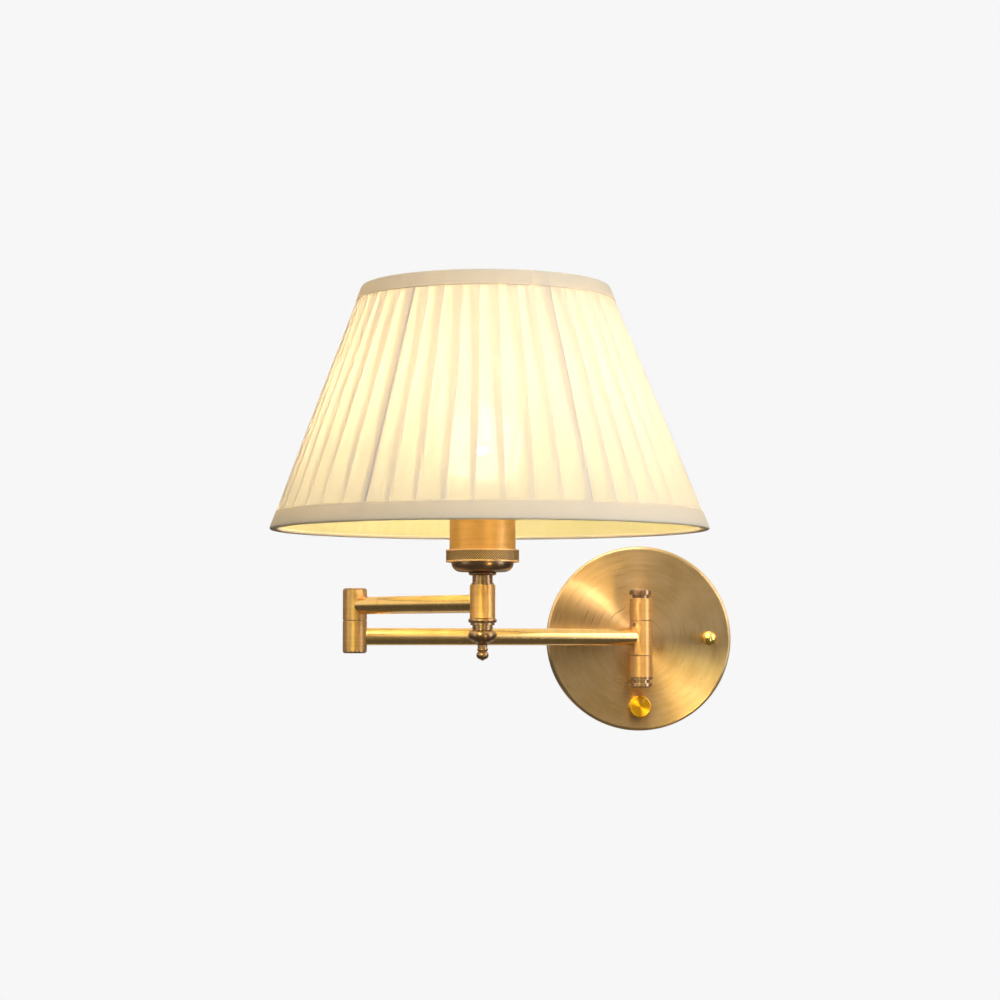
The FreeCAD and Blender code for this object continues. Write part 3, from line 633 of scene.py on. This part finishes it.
def edge_tape(node, way, turns=720):
    """Tape folded over a hoop: an outer skin with a raised hem line, a round edge, and an inner flap. Its
    section is an outline of (inset, height from the edge), carried round the cone, rippled where the
    pleats press from behind by the cube of the way along each pleat."""
    low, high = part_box(node)
    edge, tall = (low if way > 0 else high).z, high.z - low.z
    t, inner, flap = 0.5 * MM, 4.3 * MM, 1.9 * MM
    hem = [(0.25 * MM, tall), (0.0, tall - 0.35 * MM), (0.02 * MM, tall - 1.0 * MM)]
    hem += [(0.10 * MM, tall - 1.5 * MM), (0.0, tall - 2.1 * MM)]
    skin = [(0.0, tall * 0.5), (0.0, 1.1 * MM), (0.35 * MM, 0.3 * MM), (1.2 * MM, 0.0)]
    turned_in = [(inner - 0.6 * MM, 0.0), (inner + t - 0.1 * MM, 0.25 * MM), (inner + t, 1.1 * MM)]
    inner_flap = [(inner + t, flap), (inner, flap), (inner, 1.3 * MM), (inner - 0.6 * MM, t), (1.5 * MM, t)]
    behind = [(t + 0.15 * MM, 1.0 * MM), (t, 2.0 * MM), (t, tall)]
    outline = rounded(hem + skin + turned_in + inner_flap + behind, 0.5 * MM, 4)
    if way > 0:
        outline = outline[::-1]
    angle = np.linspace(0, 2 * np.pi, turns, endpoint=False)[None, :]
    inset, rise = outline[:, :1], outline[:, 1:]
    most_proud = 0.05 * MM
    press = np.clip(rise / tall, 0, 1) * (inset < t * 1.5)
    pulse = ((angle - rib_angle(edge)) / (2 * np.pi) * PLEATS) % 1.0
    ripple = 2 * most_proud * press * (pulse**3 - 0.5)
    z = edge + way * rise + 0 * angle
    points = shade_point(angle, z, inset + most_proud - np.minimum(ripple, most_proud))
    along = np.concatenate([[0], np.cumsum(np.linalg.norm(np.diff(outline, axis=0), axis=1))])
    closed = np.concatenate([points, points[:1]])
    u = np.linspace(0, 2 * np.pi * FOOT_R, turns + 1)
    v = np.concatenate([along, [along[-1] + np.linalg.norm(outline[0] - outline[-1])]])
    return closed, np.stack(np.meshgrid(u, v), -1)


RIB_SHADOW = ((0.58, 0.54, 0.68), 0.5)
FABRIC_TINTS = ((0.94, 0.90, 0.84), (0.99, 0.955, 0.91))
# The lining's face is tinted deep yellow: painted warm lamplight on a white lining.
LINING_LAMPLIT_TINTS = ((1.0, 0.97, 0.52), (0.99, 0.93, 0.84))
TAPE_TINTS = ((0.93, 0.87, 0.76), (0.98, 0.90, 0.78))
SHADE_CLOTH = cloth("pleated_cloth", *FABRIC_TINTS, through=0.64, gap=0.09, thread=0.3 * MM, seam=RIB_SHADOW)
LINING_CLOTH = cloth("lining_cloth", *LINING_LAMPLIT_TINTS, through=0.40, gap=0.14, thread=0.35 * MM)
TAPE = cloth("trim_tape", *TAPE_TINTS, through=0.46, gap=0.0, thread=0.5 * MM, bump_depth=0.12)

points, uv = pleats()
pleated = piece("pleated_cloth", points, SHADE_CLOTH, "lamp_head", ["shade_fabric"], uv=uv)
points, uv = cone_sheet("shade_lining", LINING_INSET, rows=33, turns=480, wave=0.10 * MM, seed=3)
lining = piece(
    "shade_inner_cloth", points, LINING_CLOTH, "lamp_head", ["shade_lining"], uv=uv
)
for node, way in (("bottom_trim", 1), ("top_trim", -1)):
    points, uv = edge_tape(node, way)
    piece(node.replace("trim", "tape"), points, TAPE, "lamp_head", [node], uv=uv)

FRAME = ["shade_top_hoop", "shade_bottom_hoop", "shade_ribs"]


# --- lampholder, knob and bulb --------------------------------------------------------


def knurled_band(name, peaks=96, columns_per_peak=6, periods=4, rows_per_peak=6):
    """Clamp ring with a diamond knurl. Two sets of V grooves cross, so the surface stands as high as the
    nearer groove allows: the lesser of the triangle waves of (turn + height) and (turn - height). Also
    gives each point's share of groove, for the painted shade and patina in its grooves."""
    low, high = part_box(name)
    r, z0, z1, lip = (high.x - low.x) / 2, low.z, high.z, 0.7 * MM
    inner, groove, rim, bevel, bore = r - 2.6 * MM, 0.30 * MM, r - 0.05 * MM, 0.2 * MM, 1.0 * MM
    band_low, band_high = z0 + lip + bevel, z1 - lip - bevel
    knurl_z = np.linspace(band_low, band_high, periods * rows_per_peak + 1)
    lower = [(inner, z0 + bore), (inner, z0), (rim, z0), (rim, z0 + lip), (r - groove, band_low)]
    upper = [(r - groove, band_high), (rim, z1 - lip), (rim, z1), (inner, z1), (inner, z1 - bore)]
    lower, upper = (rounded(corners, 0.22 * MM, 4, closed=False) for corners in (lower, upper))
    band = np.stack([np.full(len(knurl_z), r - groove), knurl_z], -1)
    profile = np.concatenate([lower[:-1], band, upper[1:], lower[:1]])
    turns = peaks * columns_per_peak
    u = np.linspace(0, peaks, turns, endpoint=False)[None, :]
    v = (profile[:, 1:] - band_low) / (band_high - band_low) * periods

    def ridge(t):
        return 1 - np.abs(2 * (t % 1.0) - 1)

    on_band = np.zeros((len(profile), 1))
    on_band[len(lower) - 1 : len(lower) - 1 + len(knurl_z)] = 1
    share = np.minimum(ridge(u + v), ridge(u - v))
    points = about(profile, turns, (POST.x, POST.y, 0), ripple=share * groove * on_band)
    # The groove share, for the painted shade in the grooves.
    return points, (np.clip(1.5 - 2.2 * share, 0, 1) * on_band).ravel()


def fluted_knob(flutes=36, flute_deep=0.10 * MM, turns=288, side_rows=14):
    """Turned knob standing off the wall: a dished face inside a bright rim, and a side fluted by a cosine
    of the turn that fades in and out along the side."""
    low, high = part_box("dimmer_knob")
    r, back, front = (high.x - low.x) / 2, -high.y, -low.y
    dish, bore_r, bore_deep = front - 0.12 * MM, 4.3 * MM, back + 3 * MM
    face = [(0, dish), (r - 1.1 * MM, dish), (r - 0.8 * MM, front), (r - 0.5 * MM, front)]
    rim = [(r, front - 0.5 * MM), (r, back + 0.3 * MM), (r - 0.3 * MM, back)]
    bore = [(bore_r, back), (bore_r, bore_deep), (0, bore_deep)]
    profile = rounded((face + rim + bore)[::-1], 0.2 * MM, 5, closed=False)
    heights = np.linspace(back + 0.9 * MM, front - 1.0 * MM, side_rows)
    at = int(np.argmax(profile[:, 0] > r - 0.001 * MM)) + 1
    profile = np.concatenate([profile[:at], np.stack([np.full(side_rows, r), heights], -1), profile[at:]])
    height = profile[:, 1:]
    side = np.clip((height - back - 1.0 * MM) / (1.0 * MM), 0, 1)
    side = side * np.clip((front - 1.2 * MM - height) / (0.8 * MM), 0, 1) * (profile[:, :1] > r - 0.4 * MM)
    turn = np.linspace(0, 2 * np.pi, turns, endpoint=False)[None, :]
    grooves = -flute_deep * side * (0.5 - 0.5 * np.cos(flutes * turn))
    return about(profile, turns, (KNOB.x, 0, KNOB.z), ripple=grooves, off_wall=True)


def domed_nut(side):
    """Thumb nut standing off the wall: a narrow neck, a straight head, and a dome that is a quarter of an
    ellipse, carried round the stud on one side."""
    back, front, dome, neck_r = -NUTS_HIGH.y, -NUTS_LOW.y, 3.4 * MM, 3.3 * MM
    neck = [(0, back), (neck_r, back), (neck_r, back + 1.6 * MM)]
    head = [(NUT_R, back + 2.3 * MM), (NUT_R, front - dome)]
    t = np.linspace(0, np.pi / 2, 14)[1:]
    arc = np.stack([NUT_R * np.cos(t), front - dome + dome * np.sin(t)], -1)
    arc[-1, 0] = 0
    profile = np.concatenate([rounded(neck + head, 0.25 * MM, 4, closed=False), arc])
    centre = (side * (NUTS_HIGH.x - NUT_R), 0, (NUTS_LOW.z + NUTS_HIGH.z) / 2)
    return about(profile, 64, centre, off_wall=True)


def globe():
    """Bulb envelope: a sphere down to 50 degrees below its middle, then a neck that is one cubic curve
    from the sphere's own slope to upright, closed at both ends."""
    low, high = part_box("bulb_glass")
    r = (high.x - low.x) / 2
    centre_z = high.z - r
    neck_r, pull, join = 12.8 * MM, 9.0 * MM, math.radians(-50)
    ball = np.linspace(join, math.pi / 2, 40)
    sphere = np.stack([r * np.cos(ball), centre_z + r * np.sin(ball)], -1)
    sphere[-1, 0] = 0
    a, b = np.array([neck_r, low.z + 3.5 * MM]), sphere[0]
    way_a, way_b = np.array([0, pull]), np.array([-math.sin(join), math.cos(join)]) * pull
    t = np.linspace(0, 1, 12)[:, None]
    neck = (2 * t**3 - 3 * t**2 + 1) * a + (t**3 - 2 * t**2 + t) * way_a
    neck = neck + (3 * t**2 - 2 * t**3) * b + (t**3 - t**2) * way_b
    foot = np.array([(0, low.z), (neck_r - 0.5 * MM, low.z), (neck_r, low.z + 0.5 * MM)])
    return about(np.concatenate([foot, neck[:-1], sphere]), 96, (POST.x, POST.y, 0))


def tube_along(path, r, sides):
    """Round wire along a path of points, its ends drawn in to a point. Each ring stands square to the
    path's way."""
    nearly_up = (0.13, 0.21, 0.97)
    way = np.gradient(path, axis=0)
    way /= np.linalg.norm(way, axis=1)[:, None]
    side = np.cross(way, nearly_up)
    side /= np.linalg.norm(side, axis=1)[:, None]
    other = np.cross(way, side)
    turn = np.linspace(0, 2 * np.pi, sides, endpoint=False)[None, :, None]
    wide = np.full(len(path), r)
    wide[[0, -1]] = 0
    ring = np.cos(turn) * side[:, None] + np.sin(turn) * other[:, None]
    return path[:, None] + wide[:, None, None] * ring


def filament_coil():
    """Coiled wire bent into an open arc: a helix wound on a circle."""
    low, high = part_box("bulb_filament")
    z, ring_r, coil_r, wire_r = high.z - 0.5 * MM, 2.6 * MM, 0.9 * MM, 0.16 * MM
    winds, steps, first_deg, arc_deg = 26, 14, 40, 280
    t = np.linspace(0, 1, winds * steps)
    sweep, wind = np.radians(first_deg + arc_deg * t), 2 * np.pi * winds * t
    r = ring_r + coil_r * np.cos(wind)
    path = np.stack([POST.x + r * np.cos(sweep), POST.y + r * np.sin(sweep), z + coil_r * np.sin(wind)], -1)
    return tube_along(path, wire_r, sides=6)


def filament_stem():
    """Glass stem that flares to the bulb's foot, with its flat pinch at the top."""
    low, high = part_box("bulb_filament")
    top = high.z - 3.0 * MM
    flare = [(0, low.z), (4.0 * MM, low.z), (3.2 * MM, low.z + 2 * MM), (1.7 * MM, low.z + 9 * MM)]
    pinch = [(1.5 * MM, top - 3 * MM), (1.9 * MM, top - 1.5 * MM), (1.0 * MM, top), (0, top + 0.2 * MM)]
    return about(rounded(flare + pinch, 1.0 * MM, 6, closed=False), 32, (POST.x, POST.y, 0))


at_post, at_pivot, at_elbow = (Vector((p.x, p.y, 0)) for p in (POST, PIVOT, ELBOW))
BULB_GLOW = (1.0, 0.86, 0.68)
knob_axis_at = Vector((KNOB.x, 0, KNOB.z))
# The knurl's grooves are painted near-black: painted shade with patina.
KNURL = dict(rough=(0.36, 0.44), spread=0.0, groove_shade=(0.012, 0.006, 0.004))
BRASS_RING = turned_metal("antique_brass_knurl", at_post, UP, **KNURLED, **KNURL)
KNOB_TURNED = dict(rough=(0.32, 0.45), spread=0.85)
KNOB_FACE = turned_metal("polished_brass_knob", knob_axis_at, OUT, **POLISHED, **KNOB_TURNED)
GLOW = lit_glass("bulb_glass", BULB_GLOW, strength=26.0, clear=0.45)
COIL = hot_wire("filament", BULB_GLOW, strength=2000.0)

points, depth = knurled_band("knurled_ring")
band = piece("knurled_band", points, BRASS_RING, "lamp_head", ["knurled_ring"], crease=50)
band.data.attributes.new("groove", "FLOAT", "POINT").data.foreach_set("value", depth.astype(np.float32))
piece("fluted_knob", fluted_knob(), KNOB_FACE, "dimmer_knob", ["dimmer_knob"], crease=50)
for side, where in ((-1, "left"), (1, "right")):
    nut_at = Vector((side * NUT.x, 0, 0))
    finish = turned_metal(f"polished_brass_{where}_nut", nut_at, OUT, **LEMON, rough=(0.2, 0.3))
    nut = domed_nut(side)
    piece(f"canopy_nut_{where}", nut, finish, "wall_bracket", ["canopy_nuts"], crease=50)
piece("bulb_globe", globe(), GLOW, "lamp_head", ["bulb_glass"], crease=60)
piece("filament_coil", filament_coil(), COIL, "lamp_head", ["bulb_filament"])
STEM_GLASS = moulded("bulb_stem_glass", (0.85, 0.86, 0.84), (0.78, 0.80, 0.79), 0.2, coat=0.5)
piece("filament_stem", filament_stem(), STEM_GLASS, "lamp_head")


# --- finishes on the CAD nodes ---------------------------------------------------------


def finish_nodes(material, *names):
    """Puts one material on every slot of the named CAD nodes."""
    for name in names:
        mesh = nodes[name].data
        for index in range(len(mesh.materials)):
            mesh.materials[index] = material


PLATE_SPUN = dict(rough=(0.26, 0.40), lines=2600.0, spread=0.88)
lower_line, upper_line = middle("lower_arm_tube"), middle("upper_arm_tube")
plate_brass = turned_metal("antique_brass_plate", PLATE, OUT, **PALE, **PLATE_SPUN)
pivot_brass = turned_metal("antique_brass_pivot", at_pivot, UP, **ANTIQUE, **BARREL)
pivot_dark = turned_metal("dark_brass_pivot", at_pivot, UP, **DARK)
# The elbow barrels take the darkened brass: painted shade.
elbow_brass = turned_metal("antique_brass_elbow", at_elbow, UP, **SHADED_ANTIQUE, **BARREL)
elbow_dark = turned_metal("dark_brass_elbow", at_elbow, UP, **DARK)
head_brass = turned_metal("antique_brass_head", at_post, UP, **ANTIQUE, **BARREL)
head_dark = turned_metal("dark_brass_head", at_post, UP, **DARK)
# The arm tubes take the paler brass: painted highlight.
lower_brass = turned_metal("antique_brass_lower_arm", lower_line, LOWER_ARM_WAY, **LIT_ANTIQUE, **TUBE)
upper_brass = turned_metal("antique_brass_upper_arm", upper_line, UPPER_ARM_WAY, **LIT_ANTIQUE, **TUBE)
nut_brass = turned_metal("polished_brass_hidden_nut", NUT, OUT, **LEMON)
pointer_brass = turned_metal("polished_brass_pointer", knob_axis_at, OUT, **LEMON, rough=(0.4, 0.5))
zinc = plain_metal("zinc_steel", (0.72, 0.73, 0.74), (0.52, 0.53, 0.56), 0.32)
contacts = plain_metal("contact_metal", (0.86, 0.84, 0.78), (0.66, 0.63, 0.55), 0.25)
nylon = moulded("nylon", (0.16, 0.13, 0.10), (0.10, 0.08, 0.06), 0.5)
plastic = moulded("black_plastic", (0.03, 0.03, 0.032), (0.018, 0.018, 0.02), 0.45)
ceramic = moulded("white_ceramic", (0.88, 0.87, 0.84), (0.80, 0.79, 0.75), 0.25, fleck=900.0, coat=0.6)
wire = moulded("frame_wire", (0.82, 0.80, 0.76), (0.70, 0.68, 0.64), 0.4, coat=0.3)

finish_nodes(plate_brass, "backplate_cover", "upper_stub", "lower_stub")
finish_nodes(pivot_brass, "swivel_barrel", "upper_collar", "lower_collar")
finish_nodes(pivot_dark, "top_cap", "bottom_cap", "swivel_set_screw")
finish_nodes(elbow_brass, "elbow_lower_barrel", "elbow_upper_barrel")
finish_nodes(elbow_dark, "elbow_bottom_cap", "elbow_top_cap")
finish_nodes(head_brass, "post_sleeve", "socket_shell", "shade_nut")
finish_nodes(head_dark, "finial_ring", "finial", "post_neck", "flange_washer", "socket_dome")
finish_nodes(lower_brass, "lower_arm_tube")
finish_nodes(upper_brass, "upper_arm_tube")
finish_nodes(nut_brass, "canopy_nuts")
finish_nodes(pointer_brass, "knob_pointer")
finish_nodes(zinc, "wall_crossbar", "canopy_studs", "stub_nuts", "terminal_screws", "earth_screw")
finish_nodes(zinc, "dimmer_bush_nut", "dimmer_shaft", "pivot_pin", "elbow_pin", "head_stem", "stem_nut")
finish_nodes(contacts, "socket_thread", "centre_contact", "bulb_cap", "bulb_contact")
finish_nodes(nylon, "upper_washer", "lower_washer", "elbow_washer", "sleeve_bush")
finish_nodes(plastic, "dimmer_body", "terminal_block")
finish_nodes(ceramic, "socket_insulator")
finish_nodes(wire, "fitter_ring", "spider_arms", *FRAME)


# --- stage, light and camera --------------------------------------------------------------


def floor(radius=3.5, z=-0.9, rings=12, turns=96):
    """Pale round floor whose rim fades out, drawn as rings about the frame's origin."""
    material, tree, end = new_finish("pale_floor")
    here = place(tree)
    far = turn_to(tree, "LENGTH", turn_to(tree, "MULTIPLY", here, (1, 1, 0)), out=1)
    grain = add(tree, "TexNoise", {"Vector": here, "Scale": 30.0, "Detail": 3.0}).outputs[0]
    surface(
        tree,
        end,
        {
            "Base Color": blend_colour(tree, grain, (0.80, 0.80, 0.79), (0.83, 0.83, 0.82)),
            "Roughness": 0.8,
            "Emission Color": (0.94, 0.97, 1.0, 1),
            "Emission Strength": 0.48,
            "Alpha": ramp(tree, far, radius * 0.55, radius * 0.98, 1.0, 0.0),
        },
    )
    profile = np.array([(radius * k / rings, z) for k in range(rings + 1)])[::-1]
    grid = about(profile, turns, (0, 0, 0))
    faces = quads(rings + 1, turns).tolist()
    mesh = bpy.data.meshes.new("floor")
    mesh.from_pydata(grid.reshape(-1, 3).tolist(), [], faces)
    mesh.validate()
    mesh.materials.append(material)
    made = bpy.data.objects.new("floor", mesh)
    made.visible_glossy = made.visible_diffuse = made.visible_transmission = False
    bpy.context.scene.collection.objects.link(made)


def soft_light(name, place_at, aim, width, height, radiance, colour, mirrored=True):
    """Area light of a given brightness, turned to its aim. The camera doesn't see it, and metal mirrors
    it only when mirrored is true."""
    light = bpy.data.lights.new(name, "AREA")
    light.shape, light.size, light.size_y = "RECTANGLE", width, height
    light.energy = radiance * math.pi * width * height
    light.color = colour
    made = bpy.data.objects.new(name, light)
    made.location = place_at
    made.rotation_euler = (Vector(aim) - Vector(place_at)).to_track_quat("-Z", "Y").to_euler()
    made.visible_camera, made.visible_glossy = False, mirrored
    bpy.context.scene.collection.objects.link(made)


def surroundings(seen, above, level, below, soft_share):
    """What the camera sees behind the object, and the room that metal mirrors: bright above, darker level
    with it and below. Everything that isn't a mirror image gets only soft_share of the room, so the lit
    bulb outshines it."""
    world = bpy.data.worlds.new("studio")
    bpy.context.scene.world = world
    world.use_nodes = True
    tree = world.node_tree
    tree.nodes.clear()
    looking = add(tree, "LightPath").outputs["Is Camera Ray"]
    rise = add(tree, "SeparateXYZ", {0: add(tree, "TexCoord").outputs["Generated"]}).outputs["Z"]
    lower_half = blend_colour(tree, ramp(tree, rise, -0.60, -0.30), below, level)
    colour = blend_colour(tree, ramp(tree, rise, -0.02, 0.24), lower_half, above)
    room = add(tree, "Background", {"Color": colour}).outputs[0]
    mirrored = add(tree, "LightPath").outputs["Is Glossy Ray"]
    tree.links.new(ramp(tree, mirrored, 0.0, 1.0, soft_share, 1.0), room.node.inputs["Strength"])
    backdrop = add(tree, "Background", {"Color": (*seen, 1)}).outputs[0]
    both = add(tree, "MixShader", {0: looking, 1: room, 2: backdrop})
    tree.links.new(both.outputs[0], tree.nodes.new("ShaderNodeOutputWorld").inputs[0])


floor()
surroundings(
    seen=(0.930, 0.930, 0.930),
    above=(1.05, 0.93, 0.66),
    level=(0.09, 0.085, 0.075),
    below=(0.11, 0.10, 0.085),
    soft_share=0.25,
)
CENTRE = (-0.09, -0.15, 0.06)
soft_light("overhead", (-0.5, -0.9, 1.5), CENTRE, 1.6, 1.2, 2.0, (1.0, 0.93, 0.80))
soft_light("right_strip", (1.0, -0.55, 0.25), (0, -0.05, 0.05), 0.45, 1.3, 3.1, (0.94, 0.97, 1.0))
soft_light("left_strip", (-1.2, -0.7, 0.35), (0, -0.05, 0.1), 0.6, 1.2, 1.3, (1.0, 0.95, 0.82))
soft_light("overhead_gleam", (-0.3, -0.8, 1.3), (-0.1, -0.1, 0.0), 0.9, 0.5, 4.5, (1.0, 0.98, 0.80))
soft_light("wall_bounce", (-0.15, 0.75, -0.7), CENTRE, 1.6, 0.5, 0.6, (1.0, 0.86, 0.66))
soft_light("upper_left_wedge", (-0.48, -1.2, 0.36), (0, -0.02, 0.0), 0.28, 0.28, 24.0, (1.0, 1.0, 0.42))
soft_light("lower_right_wedge", (0.40, -1.2, -0.42), (0, -0.02, 0.0), 0.22, 0.22, 15.0, (1.0, 0.76, 0.32))
soft_light("cloth_fill", (1.1, -1.7, 0.5), CENTRE, 1.6, 1.6, 3.0, (0.93, 0.97, 1.0), mirrored=False)
# These four are for the metal's highlights, and matt surfaces don't get their light.
for light in ("overhead_gleam", "upper_left_wedge", "lower_right_wedge", "wall_bounce"):
    bpy.data.objects[light].visible_diffuse = False

camera = bpy.data.cameras.new("camera")
camera.lens, camera.sensor_width, camera.clip_end = 88.56, 36.0, 50.0
viewer = bpy.data.objects.new("camera", camera)
viewer.location = (-0.089, -1.600, -0.0047)
viewer.rotation_euler = (math.radians(90 + 3.39), 0, 0)
bpy.context.scene.collection.objects.link(viewer)
bpy.context.scene.camera = viewer
bpy.context.scene.view_settings.view_transform = "Standard"
